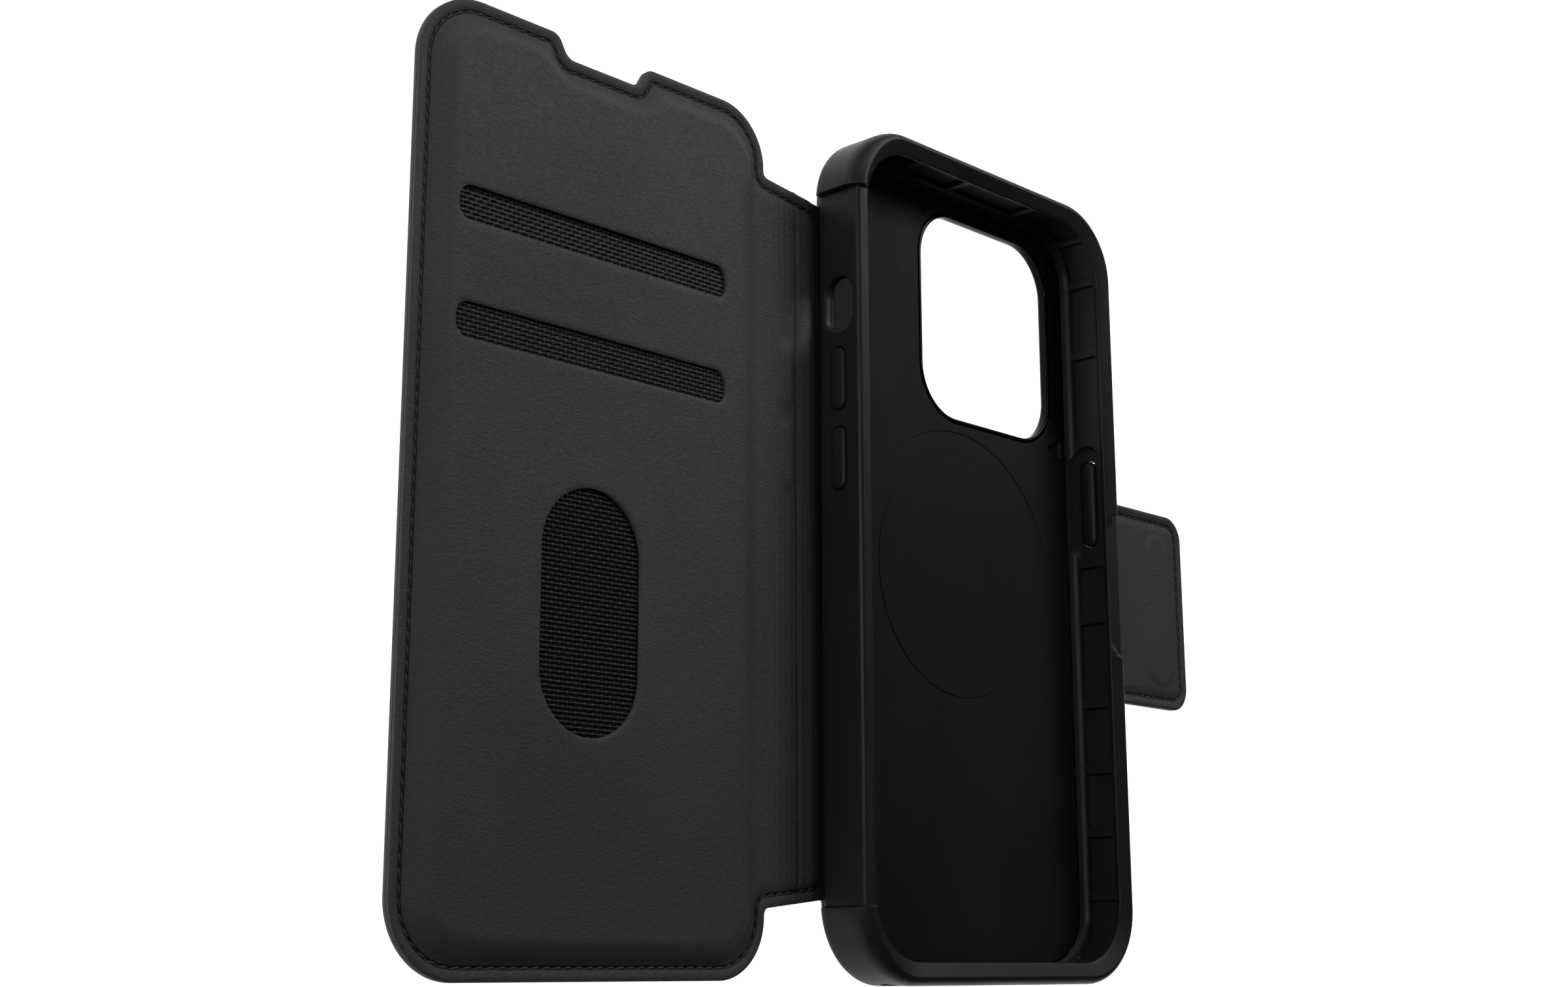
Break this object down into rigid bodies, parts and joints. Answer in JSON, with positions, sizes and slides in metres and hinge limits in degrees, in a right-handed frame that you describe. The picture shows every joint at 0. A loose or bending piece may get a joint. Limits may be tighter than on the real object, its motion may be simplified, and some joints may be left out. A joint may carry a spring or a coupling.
{
  "type": "phone wallet case",
  "caption": "Folio phone case laid open: moulded shell with magnet ring, camera opening and side keys, leather spine, card-slot cover and magnetic latch tab.",
  "frame": {"origin": "middle of the shell's outline on the outer face of the back leather, which the case lies on", "axes": "+X to the latch, +Y to the camera end, +Z out of the phone's screen"},
  "size_m": [0.2032, 0.1526, 0.0128],
  "materials": {
    "bumper": "satin",
    "back_plate": "matte",
    "gloss_trim": "gloss",
    "key": "satin",
    "outer_leather": "fine grain",
    "lining": "fine grain",
    "pocket_mesh": "open weave",
    "thread": "twisted",
    "board": "pressed fibre",
    "steel": "nickel plated",
    "film": "adhesive"
  },
  "bodies": {
    "shell": {"shell_bumper": "bumper", "shell_back_plate": "back_plate", "camera_trim": "gloss_trim", "ring_magnet_01": "steel", "ring_magnet_02": "steel", "ring_magnet_03": "steel", "ring_magnet_04": "steel", "ring_magnet_05": "steel", "ring_magnet_06": "steel", "ring_magnet_07": "steel", "ring_magnet_08": "steel", "ring_magnet_09": "steel", "ring_magnet_10": "steel", "ring_magnet_11": "steel", "ring_magnet_12": "steel", "ring_magnet_13": "steel", "ring_magnet_14": "steel", "ring_magnet_15": "steel", "ring_magnet_16": "steel", "ring_cover": "back_plate", "shell_bonding_film": "film", "back_outer_leather": "outer_leather", "back_inner_leather": "lining"},
    "volume_up": {"volume_up_key": "key"},
    "volume_down": {"volume_down_key": "key"},
    "power": {"power_key": "key"},
    "spine": {"spine_outer_leather": "outer_leather", "spine_lining": "lining", "spine_pad_volume_up": "lining", "spine_pad_volume_down": "lining", "spine_stitching_top": "thread", "spine_stitching_bottom": "thread"},
    "cover": {"cover_outer_leather": "outer_leather", "cover_lining": "lining", "cover_stiffener_board": "board", "cover_catch_plate": "steel", "pocket_back_mesh": "pocket_mesh", "pocket_divider_mesh": "pocket_mesh", "cover_stitching": "thread"},
    "strap": {"strap_outer_leather": "outer_leather", "strap_lining": "lining", "strap_stitching_top": "thread", "strap_stitching_bottom": "thread"},
    "tab": {"tab_outer_leather": "outer_leather", "tab_lining": "lining", "tab_magnet": "steel", "tab_stitching": "thread"}
  },
  "joints": [
    {"name": "spine_fold", "type": "hinge", "parent": "shell", "child": "spine", "pos_m": [-0.0388, 0, 0.0015], "axis": [0, 1, 0], "range_deg": [0, 90]},
    {"name": "cover_fold", "type": "hinge", "parent": "spine", "child": "cover", "pos_m": [-0.0509, 0, 0.0015], "axis": [0, 1, 0], "range_deg": [0, 90]},
    {"name": "strap_fold", "type": "hinge", "parent": "shell", "child": "strap", "pos_m": [0.0395, 0, 0.0015], "axis": [0, -1, 0], "range_deg": [0, 90]},
    {"name": "tab_fold", "type": "hinge", "parent": "strap", "child": "tab", "pos_m": [0.0537, 0, 0.0015], "axis": [0, -1, 0], "range_deg": [0, 90]},
    {"name": "volume_up_press", "type": "slide", "parent": "shell", "child": "volume_up", "axis": [1, 0, 0], "range_m": [0, 0.0003], "stiffness_N_per_m": 500},
    {"name": "volume_down_press", "type": "slide", "parent": "shell", "child": "volume_down", "axis": [1, 0, 0], "range_m": [0, 0.0003], "stiffness_N_per_m": 500},
    {"name": "power_press", "type": "slide", "parent": "shell", "child": "power", "axis": [-1, 0, 0], "range_m": [0, 0.0003], "stiffness_N_per_m": 500}
  ]
}
